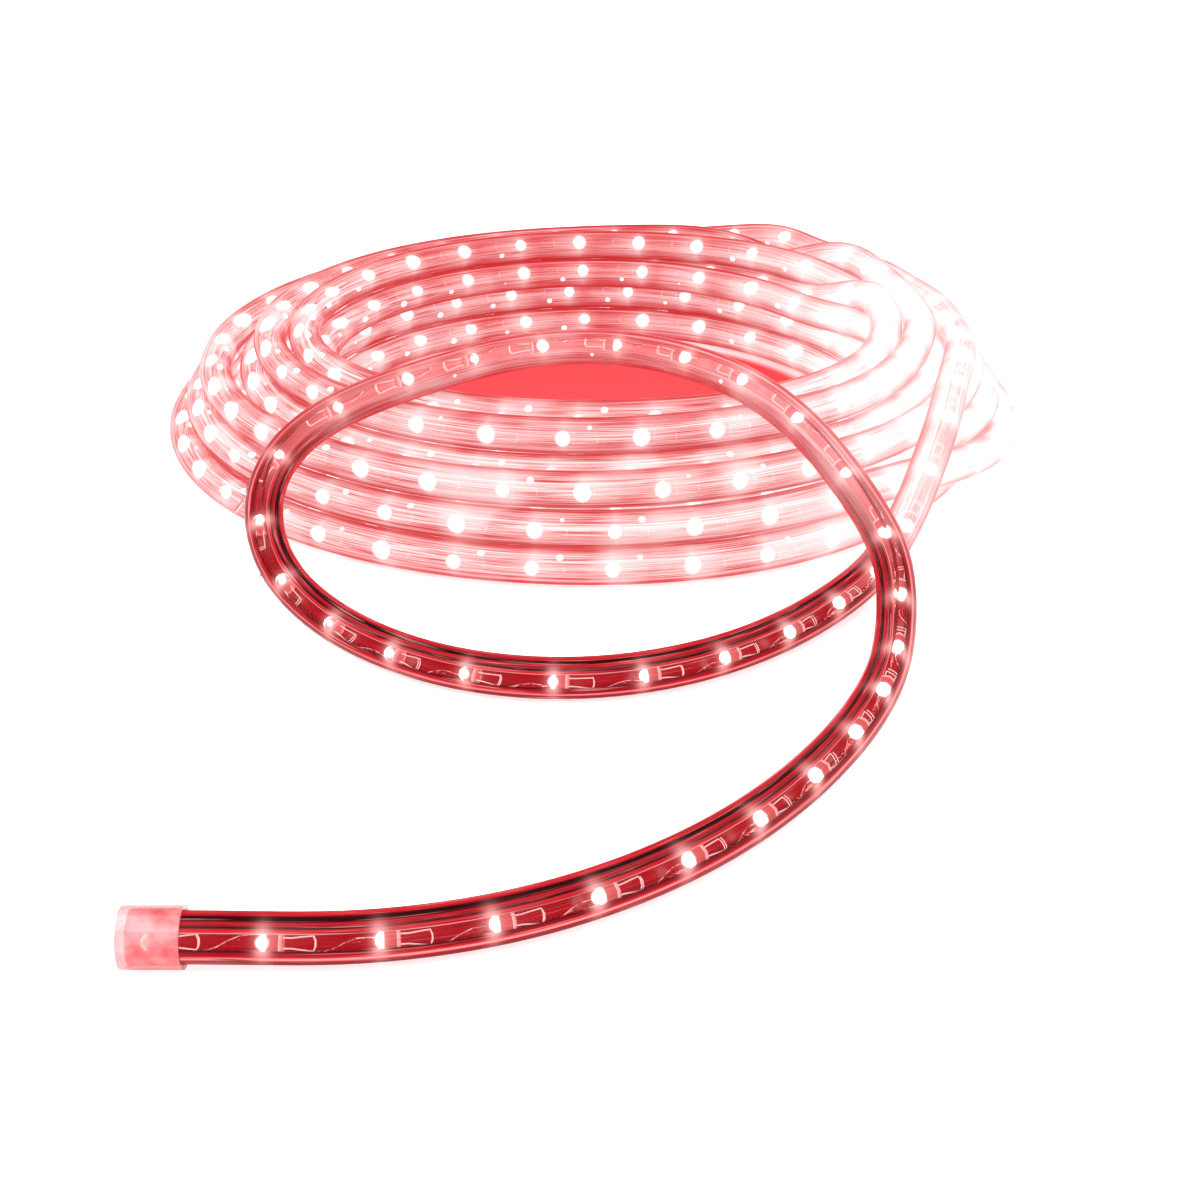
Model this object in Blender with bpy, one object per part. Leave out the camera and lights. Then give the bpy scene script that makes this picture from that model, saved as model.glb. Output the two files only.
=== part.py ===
"""LED rope light: a coil of 13 mm rope with a loop and a free tail lying on the floor."""
import math

import bpy
import numpy as np
from mathutils import Matrix, Vector

MM = 0.001

# Driving dimensions, in millimetres
ROPE_DIAMETER = 13.0
GAP = 0.3
BORE_SLOT_RADIUS = 112.5
RING_STEPS = 64
LOBE_SEGMENTS = 4
VALLEY_ANGLE = math.radians(22)
TUBE_SPACING = 2.0 * ROPE_DIAMETER
CAP_LENGTH = 15.0
CAP_WALL = 1.0
CAP_FLOOR = 2.0
CAP_STEPS = 24
CAP_FRONT_X = -97.0
TAIL_Y = -385.0
INNER_END_ANGLE = math.radians(358)
INNER_END_SWEEP = math.radians(40)

# Tied values, in millimetres
ROPE_RADIUS = ROPE_DIAMETER / 2
CAP_BORE_RADIUS = ROPE_RADIUS + GAP
CAP_RADIUS = CAP_BORE_RADIUS + CAP_WALL
ROPE_END_DEPTH = CAP_LENGTH - CAP_FLOOR - GAP

# Rope slots that shape the outside of the coil's section, from its outer foot over the top to the
# foot of the bore: how far each lies outside the bore's own slot, and the height of its centre
SECTION_SLOTS = [
    (56.5, 6.5),
    (49.2, 17.3),
    (42.0, 28.1),
    (27.5, 28.1),
    (21.0, 39.5),
    (7.0, 41.2),
    (1.0, 30.0),
    (6.0, 18.2),
    (0.0, 6.5),
]
COIL_RADIUS = BORE_SLOT_RADIUS + SECTION_SLOTS[0][0] + ROPE_RADIUS
INNER_SLOT_RADIUS = BORE_SLOT_RADIUS - ROPE_DIAMETER - GAP
CAP_REACH_RADIUS = BORE_SLOT_RADIUS - ROPE_RADIUS - 2 * GAP - CAP_RADIUS
INNER_CAP_SLOT_RADIUS = math.sqrt(CAP_REACH_RADIUS**2 - CAP_LENGTH**2)

# The coil's axis lies this far behind the middle of the whole footprint
COIL_Y = -(COIL_RADIUS + TAIL_Y - CAP_RADIUS) / 2

# Centre of the free rope from the top of the coil, round the loop and out along the tail, measured
# from the coil's axis on the floor
FREE_ROUTE = [
    (133.4, 62.2, 39.6),
    (145.0, 25.6, 39.6),
    (146.8, -10.0, 40.2),
    (144.0, -42.0, 41.6),
    (138.0, -67.0, 42.2),
    (133.0, -86.0, 41.5),
    (127.5, -105.0, 37.0),
    (121.0, -122.0, 29.0),
    (106.0, -153.0, 12.0),
    (97.0, -169.0, 7.2),
    (86.0, -187.0, 6.5),
    (61.0, -218.0, 6.5),
    (29.0, -241.5, 6.5),
    (-9.0, -251.0, 6.5),
    (-47.5, -242.0, 6.5),
    (-79.0, -218.0, 7.0),
    (-93.0, -204.0, 9.5),
    (-104.5, -188.5, 14.5),
    (-111.5, -172.0, 22.0),
    (-112.5, -155.0, 31.5),
    (-105.0, -139.5, 41.0),
    (-90.5, -128.0, 48.0),
    (-57.0, -108.0, 55.0),
    (-24.0, -86.0, 56.5),
    (-4.0, -81.5, 56.5),
    (15.5, -85.5, 56.5),
    (32.5, -96.0, 56.0),
    (60.0, -125.0, 52.5),
    (72.0, -139.0, 46.5),
    (92.0, -167.0, 27.5),
    (97.5, -183.0, 20.5),
    (98.5, -200.0, 13.5),
    (96.0, -218.0, 8.0),
    (91.5, -239.0, 6.5),
    (77.0, -277.5, 6.5),
    (31.0, -342.0, 6.5),
    (-19.0, -374.5, 6.5),
    (-57.5, -383.5, 6.5),
    (-90.0, TAIL_Y, CAP_RADIUS),
    (CAP_FRONT_X - ROPE_END_DEPTH, TAIL_Y, CAP_RADIUS),
]


def clearScene():
    for thing in list(bpy.data.objects):
        bpy.data.objects.remove(thing, do_unlink=True)


def makeMaterial(name, colour, roughness, metallic=0.0):
    material = bpy.data.materials.new(name)
    material.use_nodes = True
    surface = material.node_tree.nodes["Principled BSDF"]
    surface.inputs["Base Color"].default_value = (*colour, 1.0)
    surface.inputs["Roughness"].default_value = roughness
    surface.inputs["Metallic"].default_value = metallic
    return material


def smoothCurve(points):
    """Return dense points on a natural cubic curve through the given ones."""
    knots = np.array(points, dtype=float)
    spans = np.linalg.norm(np.diff(knots, axis=0), axis=1)
    along = np.concatenate([[0.0], np.cumsum(spans)])
    count = len(knots)
    system = np.zeros((count, count))
    right = np.zeros((count, 3))
    system[0, 0] = 1.0
    system[-1, -1] = 1.0
    slopes = np.diff(knots, axis=0) / spans[:, None]
    for i in range(1, count - 1):
        system[i, i - 1] = spans[i - 1]
        system[i, i] = 2 * (spans[i - 1] + spans[i])
        system[i, i + 1] = spans[i]
        right[i] = 6 * (slopes[i] - slopes[i - 1])
    bends = np.linalg.solve(system, right)
    dense = []
    for i, span in enumerate(spans):
        for step in np.linspace(0.0, 1.0, 24, endpoint=i == count - 2):
            a = 1.0 - step
            bend = (a**3 - a) * bends[i] + (step**3 - step) * bends[i + 1]
            dense.append(a * knots[i] + step * knots[i + 1] + bend * span**2 / 6)
    return np.array(dense)


def evenPoints(dense, spacing):
    """Return points about one spacing apart along a dense line, both ends included."""
    spans = np.linalg.norm(np.diff(dense, axis=0), axis=1)
    along = np.concatenate([[0.0], np.cumsum(spans)])
    count = max(3, int(round(along[-1] / spacing)) + 1)
    places = np.linspace(0.0, along[-1], count)
    return np.array([np.interp(places, along, dense[:, axis]) for axis in range(3)]).T


def toWorld(point):
    """Turn millimetres from the coil's axis into metres from the part's origin."""
    x, y, z = point
    return Vector((x * MM, (y + COIL_Y) * MM, z * MM))


def makeTube(name, points, material):
    """Lay a round rope with closed ends along the points."""
    curve = bpy.data.curves.new(name, "CURVE")
    curve.dimensions = "3D"
    curve.bevel_depth = ROPE_RADIUS * MM
    curve.bevel_resolution = 4
    curve.render_resolution_u = 0
    curve.use_fill_caps = True
    spline = curve.splines.new("POLY")
    spline.points.add(len(points) - 1)
    spline.use_smooth = True
    for knot, place in zip(spline.points, points):
        height = max(place[2], ROPE_RADIUS)
        knot.co = (*toWorld((place[0], place[1], height)), 1.0)
    curve.materials.append(material)
    tube = bpy.data.objects.new(name, curve)
    bpy.context.scene.collection.objects.link(tube)
    return tube


def coilProfile():
    """Return the section as (radius, height), up the outside and down into the bore."""
    centres = [Vector((BORE_SLOT_RADIUS + out, height)) for out, height in SECTION_SLOTS]
    outline = [(centres[0].x, 0.0)]
    for i, centre in enumerate(centres):
        if i == 0:
            start = -math.pi / 2
        else:
            back = centres[i - 1] - centre
            start = math.atan2(back.y, back.x) + VALLEY_ANGLE
        if i == len(centres) - 1:
            end = 1.5 * math.pi
        else:
            ahead = centres[i + 1] - centre
            end = math.atan2(ahead.y, ahead.x) - VALLEY_ANGLE
        while end <= start:
            end += 2 * math.pi
        while end - start > 2 * math.pi:
            end -= 2 * math.pi
        first = 1 if i == 0 else 0
        for step in range(first, LOBE_SEGMENTS + 1):
            angle = start + (end - start) * step / LOBE_SEGMENTS
            outline.append(
                (
                    centre.x + ROPE_RADIUS * math.cos(angle),
                    max(0.0, centre.y + ROPE_RADIUS * math.sin(angle)),
                )
            )
    return outline


def makeTurned(name, profile, steps, material, place):
    """Turn a closed (radius, height) outline round +Z; a point at radius 0 closes a disc."""
    vertices = []
    rings = []
    for radius, height in profile:
        if radius == 0.0:
            rings.append([len(vertices)] * steps)
            vertices.append(place @ Vector((0.0, 0.0, height * MM)))
            continue
        rings.append(list(range(len(vertices), len(vertices) + steps)))
        for step in range(steps):
            angle = 2 * math.pi * step / steps
            spot = Vector((radius * math.cos(angle), radius * math.sin(angle), height)) * MM
            vertices.append(place @ spot)
    faces = []
    pairs = len(rings) if profile[0][0] > 0.0 else len(rings) - 1
    for i in range(pairs):
        low = rings[i]
        high = rings[(i + 1) % len(rings)]
        for step in range(steps):
            after = (step + 1) % steps
            corners = [low[step], low[after], high[after], high[step]]
            corners = [c for k, c in enumerate(corners) if c != corners[k - 1]]
            faces.append(corners)
    mesh = bpy.data.meshes.new(name)
    mesh.from_pydata(vertices, [], faces)
    mesh.shade_smooth()
    mesh.set_sharp_from_angle(angle=math.radians(35))
    mesh.materials.append(material)
    turned = bpy.data.objects.new(name, mesh)
    bpy.context.scene.collection.objects.link(turned)
    return turned


def makeCap(name, mouth, direction, material):
    """Make a cup whose mouth is centred on a point and whose closed end faces a direction."""
    profile = [
        (0.0, CAP_LENGTH - CAP_FLOOR),
        (CAP_BORE_RADIUS, CAP_LENGTH - CAP_FLOOR),
        (CAP_BORE_RADIUS, 0.0),
        (CAP_RADIUS, 0.0),
        (CAP_RADIUS, CAP_LENGTH),
        (0.0, CAP_LENGTH),
    ]
    side = Vector((0.0, 0.0, 1.0)).cross(direction).normalized()
    up = direction.cross(side)
    place = Matrix.Translation(toWorld(mouth)) @ Matrix((side, up, direction)).transposed().to_4x4()
    return makeTurned(name, profile, CAP_STEPS, material, place)


def makeInnerEnd(rope, clear):
    """Lay the rope's first end along the foot of the bore, in its own cap."""
    cap_angle = INNER_END_ANGLE
    direction = Vector((-math.sin(cap_angle), math.cos(cap_angle), 0.0))
    mouth = Vector((math.cos(cap_angle), math.sin(cap_angle), 0.0)) * INNER_CAP_SLOT_RADIUS
    mouth.z = CAP_RADIUS
    route = []
    for step in range(6):
        share = step / 6
        angle = cap_angle - INNER_END_SWEEP * (1 - share)
        ease = share * share * (3 - 2 * share)
        radius = INNER_SLOT_RADIUS + (INNER_CAP_SLOT_RADIUS - INNER_SLOT_RADIUS) * ease
        height = ROPE_RADIUS + (CAP_RADIUS - ROPE_RADIUS) * ease
        route.append((radius * math.cos(angle), radius * math.sin(angle), height))
    route.append(tuple(mouth))
    route.append(tuple(mouth + direction * ROPE_END_DEPTH))
    makeTube("rope_inner_end", evenPoints(smoothCurve(route), ROPE_DIAMETER), rope)
    makeCap("inner_end_cap", mouth, direction, clear)


clearScene()
ropeRed = makeMaterial("rope_red", (0.75, 0.03, 0.04), 0.18)
capClear = makeMaterial("cap_clear", (0.80, 0.78, 0.78), 0.25)

makeTurned("rope_coil", coilProfile(), RING_STEPS, ropeRed, Matrix.Translation(toWorld((0, 0, 0))))
makeTube("rope_loop", evenPoints(smoothCurve(FREE_ROUTE), TUBE_SPACING), ropeRed)
makeCap("tail_end_cap", (CAP_FRONT_X, TAIL_Y, CAP_RADIUS), Vector((-1.0, 0.0, 0.0)), capClear)
makeInnerEnd(ropeRed, capClear)
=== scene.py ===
import math

import bpy
import bmesh
import numpy as np
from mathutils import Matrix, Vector


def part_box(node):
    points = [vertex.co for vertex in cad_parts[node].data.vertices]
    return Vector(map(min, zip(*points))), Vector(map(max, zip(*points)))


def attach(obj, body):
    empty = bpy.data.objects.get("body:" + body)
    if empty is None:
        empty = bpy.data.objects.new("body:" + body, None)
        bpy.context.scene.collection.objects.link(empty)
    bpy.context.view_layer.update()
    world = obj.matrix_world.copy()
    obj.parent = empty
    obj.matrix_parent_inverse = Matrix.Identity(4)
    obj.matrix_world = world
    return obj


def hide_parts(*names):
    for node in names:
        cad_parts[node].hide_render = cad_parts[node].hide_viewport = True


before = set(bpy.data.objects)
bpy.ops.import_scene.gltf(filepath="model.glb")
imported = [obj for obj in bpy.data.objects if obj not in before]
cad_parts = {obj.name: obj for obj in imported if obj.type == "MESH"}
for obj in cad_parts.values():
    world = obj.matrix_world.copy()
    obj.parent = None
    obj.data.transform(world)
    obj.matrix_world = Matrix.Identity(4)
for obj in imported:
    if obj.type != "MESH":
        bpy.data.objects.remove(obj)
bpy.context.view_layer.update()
mm = 0.001
coilLow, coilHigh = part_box("rope_coil")
coilCentre = (coilLow + coilHigh) / 2
coilOrigin = np.array([coilCentre.x, coilCentre.y, 0.0])
print("frame loaded, coil centre", [round(c, 4) for c in coilCentre])

# Camera: as high and as steep as the photo's, on the picture's square frame
cameraSetup = {
    "place": (0.0019, -0.758, 0.2747),  # metres from the coil's axis on the floor
    "tilt": 64.5,
    "lens": 56.85,
}


def intoScene(made):
    bpy.context.scene.collection.objects.link(made)
    return made


def makeCamera():
    data = bpy.data.cameras.new("studio_camera")
    data.lens = cameraSetup["lens"]
    data.sensor_width = 36
    camera = intoScene(bpy.data.objects.new("studio_camera", data))
    camera.location = Vector(cameraSetup["place"]) + Vector(coilOrigin)
    camera.rotation_euler = (math.radians(cameraSetup["tilt"]), 0, 0)
    bpy.context.scene.camera = camera


makeCamera()
print("camera placed")

# The rope's line: coil turns worked out slot by slot, then the free loop and tail
coilSetup = {
    "ropeDiameter": 13.0,
    "boreSlotRadius": 112.5,
    "startAngle": 358.0,  # where the inner end lies in the bore
    "endAngle": 25.0,  # where the rope leaves the coil for the loop
    "firstShift": 236.0,  # angle at which the inner end moves out to the first slot
    "earlyLead": 20.0,  # each later shift comes this much sooner on its way round
    "lateLead": 10.0,
    "earlyTurns": 5,
    "shiftWidth": 46.0,
    "restAngle": -52.0,  # the free rope lies on the coil down to here
    "wholeTurns": 14,  # and part of one more
    "planes": 180,
    "looseness": (0.8, 0.35),  # how far the turns wander, outwards and upwards
    "windows": (61, 241),  # planes over which the wandering is eased, and held level
    "seed": 11,
    "clearance": 0.12,
    "push": 0.3,
    "pull": 0.02,  # how firmly a turn is drawn back to its slot
    "laps": 260,
    "slackLaps": 80,  # at the end nothing is drawn back
    "heldEnds": 12,
    "lineStep": 5.0,
    "easeLaps": 6,
}

# Where the turns lie in the heap, in winding order: millimetres out from the bore's slot, and height
windingSlots = [
    (-13.3, 6.5), (0.0, 6.5), (13.3, 6.5), (27.5, 6.5), (42.0, 6.5), (56.5, 6.5), (49.2, 17.3),
    (34.7, 17.3), (20.4, 17.4), (6.0, 18.2), (1.0, 30.0), (14.0, 28.7), (7.0, 41.2), (27.5, 28.1),
    (21.0, 39.5), (42.0, 28.1), (34.7, 39.5),
]

# Centre of the free rope from the coil's top to the tail's end, in millimetres from the coil's axis
freeRoute = [
    (133.4, 62.2, 39.6), (145.0, 25.6, 39.6), (146.8, -10.0, 40.2), (144.0, -42.0, 41.6),
    (138.0, -67.0, 42.2), (133.0, -86.0, 41.5), (127.5, -105.0, 37.0), (121.0, -122.0, 29.0),
    (106.0, -153.0, 12.0), (97.0, -169.0, 7.2), (86.0, -187.0, 6.5), (61.0, -218.0, 6.5),
    (29.0, -241.5, 6.5), (-9.0, -251.0, 6.5), (-47.5, -242.0, 6.5), (-79.0, -218.0, 7.0),
    (-93.0, -204.0, 9.5), (-104.5, -188.5, 14.5), (-111.5, -172.0, 22.0), (-112.5, -155.0, 31.5),
    (-105.0, -139.5, 41.0), (-90.5, -128.0, 48.0), (-57.0, -108.0, 55.0), (-24.0, -86.0, 56.5),
    (-4.0, -81.5, 56.5), (15.5, -85.5, 56.5), (32.5, -96.0, 56.0), (60.0, -125.0, 52.5),
    (72.0, -139.0, 46.5), (92.0, -167.0, 27.5), (97.5, -183.0, 20.5), (98.5, -200.0, 13.5),
    (96.0, -218.0, 8.0), (91.5, -239.0, 6.5), (77.0, -277.5, 6.5), (31.0, -342.0, 6.5),
    (-19.0, -374.5, 6.5), (-57.5, -383.5, 6.5), (-90.0, -385.0, 7.8), (-109.7, -385.0, 7.8),
]


def smoothStep(share):
    share = np.clip(share, 0.0, 1.0)
    return share * share * (3 - 2 * share)


def coilTargets():
    # radius and height of the winding rope, one row for each two degrees travelled
    setup = coilSetup
    stepDegrees = 360.0 / setup["planes"]
    travelEnd = setup["startAngle"] - setup["endAngle"] + 360.0 * setup["wholeTurns"]
    travel = np.arange(0.0, travelEnd + 0.01, stepDegrees)
    radius = np.full(len(travel), setup["boreSlotRadius"] + windingSlots[0][0])
    height = np.full(len(travel), windingSlots[0][1])
    shiftAngle = setup["firstShift"]
    for turn in range(1, len(windingSlots)):
        middle = setup["startAngle"] - shiftAngle + 360.0 * (turn - 1)
        share = smoothStep((travel - middle) / setup["shiftWidth"] + 0.5)
        out = windingSlots[turn][0] - windingSlots[turn - 1][0]
        up = windingSlots[turn][1] - windingSlots[turn - 1][1]
        radius += out * share
        height += up * share
        shiftAngle += setup["earlyLead"] if turn < setup["earlyTurns"] else setup["lateLead"]
    return travel, radius, height


def resting(free):
    # radius and height of the free rope where it still lies on the coil, each two degrees on
    angle = np.degrees(np.arctan2(free[:, 1], free[:, 0]))
    onCoil = int(np.argmax(angle < coilSetup["restAngle"]))
    stepDegrees = 360.0 / coilSetup["planes"]
    wanted = np.arange(coilSetup["endAngle"] - stepDegrees, coilSetup["restAngle"], -stepDegrees)
    reach = np.hypot(free[:onCoil, 0], free[:onCoil, 1])
    columns = [np.interp(wanted, angle[:onCoil][::-1], row[::-1]) for row in (reach, free[:onCoil, 2])]
    return np.stack(columns, axis=1)


def settleTurns(travel, radius, height, held):
    # let the turns push each other, and the free rope on top, a diameter apart in every section of the heap
    setup = coilSetup
    planes = setup["planes"]
    rng = np.random.default_rng(setup["seed"])
    spots = np.stack([radius, height], axis=1)
    wander = np.cumsum(rng.normal(size=(len(travel), 2)), axis=0)
    ease, level = (np.ones(count) / count for count in setup["windows"])
    for axis in range(2):
        slow = np.convolve(wander[:, axis], ease, mode="same")
        slow -= np.convolve(slow, level, mode="same")
        spots[:, axis] += slow / max(slow.std(), 1e-6) * setup["looseness"][axis]
    spots = np.vstack([spots, held])
    goal = spots.copy()
    ends = setup["heldEnds"]
    fixed = len(held) + ends
    rows = -(-len(spots) // planes)
    apart = setup["ropeDiameter"] + setup["clearance"]
    floor = setup["ropeDiameter"] / 2
    for lap in range(setup["laps"]):
        grid = np.full((rows * planes, 2), np.nan)
        grid[: len(spots)] = spots
        grid = grid.reshape(rows, planes, 2)
        push = np.zeros_like(grid)
        for lower in range(rows):
            gap = grid[lower + 1 :] - grid[lower]
            distance = np.sqrt((gap**2).sum(axis=2))
            short = np.nan_to_num(np.clip(apart - distance, 0.0, None))
            move = np.nan_to_num(gap / np.maximum(distance, 0.1)[..., None]) * short[..., None]
            push[lower + 1 :] += setup["push"] * move
            push[lower] -= setup["push"] * move.sum(axis=0)
        spots = spots + push.reshape(-1, 2)[: len(spots)]
        bend = np.zeros_like(spots)
        bend[1:-1] = spots[:-2] - 2 * spots[1:-1] + spots[2:]
        pull = setup["pull"] if lap < setup["laps"] - setup["slackLaps"] else 0.0
        spots += setup["push"] * bend + pull * (goal - spots)
        spots[:ends] = goal[:ends]
        spots[-fixed:] = goal[-fixed:]
        spots[:, 1] = np.maximum(spots[:, 1], floor)
    return spots[: len(travel), 0], spots[: len(travel), 1]


def spansOf(line):
    return np.linalg.norm(np.diff(line, axis=0), axis=1)


def cubicThrough(points, perSpan=24):
    # dense points on a natural cubic curve through the given ones
    knots = np.array(points, dtype=float)
    spans = spansOf(knots)
    count = len(knots)
    system = np.eye(count)
    right = np.zeros((count, 3))
    slopes = np.diff(knots, axis=0) / spans[:, None]
    for i in range(1, count - 1):
        system[i, i - 1 : i + 2] = (spans[i - 1], 2 * (spans[i - 1] + spans[i]), spans[i])
        right[i] = 6 * (slopes[i] - slopes[i - 1])
    bends = np.linalg.solve(system, right)
    dense = []
    for i, span in enumerate(spans):
        for step in np.linspace(0.0, 1.0, perSpan, endpoint=i == count - 2):
            back = 1.0 - step
            bend = (back**3 - back) * bends[i] + (step**3 - step) * bends[i + 1]
            dense.append(back * knots[i] + step * knots[i + 1] + bend * span**2 / 6)
    return np.array(dense)


def evenLine(line, spacing):
    along = np.concatenate([[0.0], np.cumsum(spansOf(line))])
    places = np.linspace(0.0, along[-1], int(round(along[-1] / spacing)) + 1)
    return np.stack([np.interp(places, along, line[:, axis]) for axis in range(3)], axis=1)


def cutLine(line, length):
    # the line's first stretch, ending exactly at the given length
    along = np.concatenate([[0.0], np.cumsum(spansOf(line))])
    last = [np.interp(length, along, line[:, axis]) for axis in range(3)]
    return np.vstack([line[along < length - 0.5 * mm], last])


def ropeLine():
    travel, radius, height = coilTargets()
    free = cubicThrough(freeRoute)
    run = float(spansOf(free).sum()) * mm
    radius, height = settleTurns(travel, radius, height, resting(free))
    angle = np.radians(coilSetup["startAngle"] - travel)
    turns = np.stack([radius * np.cos(angle), radius * np.sin(angle), height], axis=1)
    free[:, 2] = np.maximum(free[:, 2], coilSetup["ropeDiameter"] / 2)
    line = np.concatenate([turns, free[1:]])
    line = evenLine(line, coilSetup["lineStep"])
    for lap in range(coilSetup["easeLaps"]):  # ease the join of the turns and the free rope
        line[1:-1] += 0.25 * (line[:-2] - 2 * line[1:-1] + line[2:])
    return line[::-1] * mm + coilOrigin, run  # from the tail's end back into the coil


ropePoints, freeLength = ropeLine()
ropeLength = float(spansOf(ropePoints).sum())
print("rope line", len(ropePoints), "points", round(ropeLength, 3), "m, free", round(freeLength, 3))


# Shader helpers, and the two groups that the finishes share
lightSetup = {
    "ledPitch": 1 / 36,  # metres, 36 lamps to the metre
    "ledOffset": 0.0022,
    "endGap": 0.2,  # share of a pitch without a lamp at the rope's end
    "backward": 2.6,  # the light trails this much further back than ahead
    "fade": -1.6,
    "dashShift": 7.3,
    "facing": tuple(coilOrigin + np.array(cameraSetup["place"])),  # the point that the lamps look to
}


def newGroup(name, inputs, outputs):
    group = bpy.data.node_groups.new(name, "ShaderNodeTree")
    for label, value in inputs.items():
        socket = group.interface.new_socket(label, in_out="INPUT", socket_type="NodeSocketFloat")
        socket.default_value = value
    for label in outputs:
        group.interface.new_socket(label, in_out="OUTPUT", socket_type="NodeSocketFloat")
    return group, node(group, "NodeGroupInput").outputs, node(group, "NodeGroupOutput").inputs


def node(tree, kind, **settings):
    made = tree.nodes.new(kind)
    for key, value in settings.items():
        setattr(made, key, value)
    return made


def feed(tree, sockets, values):
    # a number or a colour is set on its socket, anything else is linked to it
    for socket, value in zip(sockets, values):
        if isinstance(value, tuple):
            socket.default_value = (*value, 1.0)
        elif isinstance(value, (int, float)):
            socket.default_value = value
        elif value is not None:
            tree.links.new(value, socket)


def fed(tree, kind, inputs, **settings):
    # a node whose inputs are fed by name
    made = node(tree, kind, **settings)
    feed(tree, [made.inputs[label] for label in inputs], inputs.values())
    return made


def mathOf(tree, operation, first, second=None, third=None):
    made = node(tree, "ShaderNodeMath", operation=operation)
    feed(tree, made.inputs, (first, second, third))
    return made.outputs[0]


def productOf(tree, first, *others):
    for value in others:
        first = mathOf(tree, "MULTIPLY", first, value)
    return first


def highestOf(tree, first, *others):
    for value in others:
        first = mathOf(tree, "MAXIMUM", first, value)
    return first


def linearOf(tree, source, gain, base):
    return mathOf(tree, "MULTIPLY_ADD", source, gain, base)


def vectorOf(tree, operation, first, second=None, output="Vector"):
    made = node(tree, "ShaderNodeVectorMath", operation=operation)
    feed(tree, made.inputs, (first, second))
    return made.outputs[output]


def rampOf(tree, source, stops):
    made = node(tree, "ShaderNodeValToRGB")
    ramp = made.color_ramp
    while len(ramp.elements) < len(stops):
        ramp.elements.new(0.5)
    for element, (place, colour) in zip(ramp.elements, stops):
        element.position = place
        if isinstance(colour, float):
            colour = (colour, colour, colour)
        element.color = (*colour, 1.0)
    tree.links.new(source, made.inputs[0])
    return made.outputs[0]


def mixOf(tree, factor, first, second, blend="MIX"):
    made = node(tree, "ShaderNodeMix", data_type="RGBA", blend_type=blend)
    feed(tree, (made.inputs[0], made.inputs[6], made.inputs[7]), (factor, first, second))
    return made.outputs[2]


def rangeOf(tree, source, low, high):
    # 0 at low, 1 at high, eased between them
    inputs = {"Value": source, "From Min": low, "From Max": high}
    return fed(tree, "ShaderNodeMapRange", inputs, interpolation_type="SMOOTHSTEP").outputs[0]


def bellOf(tree, source, width):
    # 1 on the middle line, falling off to both sides of it
    scaled = mathOf(tree, "DIVIDE", source, width)
    return mathOf(tree, "EXPONENT", productOf(tree, scaled, scaled, -1.0))


def storedOf(tree, name):
    # the three values kept on the mesh under this name
    stored = node(tree, "ShaderNodeAttribute", attribute_name=name).outputs["Vector"]
    return fed(tree, "ShaderNodeSeparateXYZ", {"Vector": stored}).outputs


def objectPlace(tree):
    return node(tree, "ShaderNodeTexCoord").outputs["Object"]


def grainOf(tree, scale, detail=2.0):
    inputs = {"Vector": objectPlace(tree), "Scale": scale, "Detail": detail}
    return fed(tree, "ShaderNodeTexNoise", inputs).outputs["Fac"]


def useGroup(tree, group, **values):
    made = node(tree, "ShaderNodeGroup", node_tree=group)
    for label, value in values.items():
        made.inputs[label.replace("_", " ")].default_value = value
    return made.outputs


def newMaterial(name):
    material = bpy.data.materials.new(name)
    material.use_nodes = True
    material.cycles.emission_sampling = "NONE"  # the glow is seen and bounces, but isn't aimed as a lamp
    tree = material.node_tree
    return material, tree, tree.nodes["Principled BSDF"]


def dress(tree, surface, base, glowColour, glow, roughness):
    labels = ("Base Color", "Emission Color", "Emission Strength", "Roughness")
    feed(tree, [surface.inputs[label] for label in labels], (base, glowColour, glow, roughness))


def bumpBy(tree, surface, height, strength, distance):
    bump = fed(tree, "ShaderNodeBump", {"Strength": strength, "Distance": distance, "Height": height})
    tree.links.new(bump.outputs[0], surface.inputs["Normal"])


def makeLampGlowGroup():
    # how far a point lies from the nearest lamp, and the light that trails along each lamp's body
    inputs = {
        "Pitch": lightSetup["ledPitch"],
        "Offset": lightSetup["ledOffset"],
        "Spot Size": 0.0028,
        "Trail Length": 0.014,
    }
    group, inlet, outlet = newGroup("lampGlow", inputs, ("Spot", "Trail", "Chance"))
    view = storedOf(group, "ropeView")
    # the place on the core that is seen behind the surface
    core = mathOf(group, "SUBTRACT", storedOf(group, "ropePlace")[0], view[1])
    run = mathOf(group, "SUBTRACT", core, inlet["Offset"])
    count = mathOf(group, "DIVIDE", run, inlet["Pitch"])
    behind = productOf(group, mathOf(group, "FRACT", count), inlet["Pitch"])
    ahead = mathOf(group, "SUBTRACT", inlet["Pitch"], behind)
    seen = productOf(group, mathOf(group, "MINIMUM", behind, ahead), view[0])
    spot = bellOf(group, seen, inlet["Spot Size"])
    short = mathOf(group, "MINIMUM", behind, productOf(group, ahead, lightSetup["backward"]))
    fade = mathOf(group, "DIVIDE", short, inlet["Trail Length"])
    trail = mathOf(group, "EXPONENT", productOf(group, fade, lightSetup["fade"]))
    nearest = mathOf(group, "FLOOR", mathOf(group, "ADD", count, 0.5))
    chance = fed(group, "ShaderNodeTexWhiteNoise", {"W": nearest}, noise_dimensions="1D")
    feed(group, outlet, (spot, trail, chance.outputs["Value"]))
    return group


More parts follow.
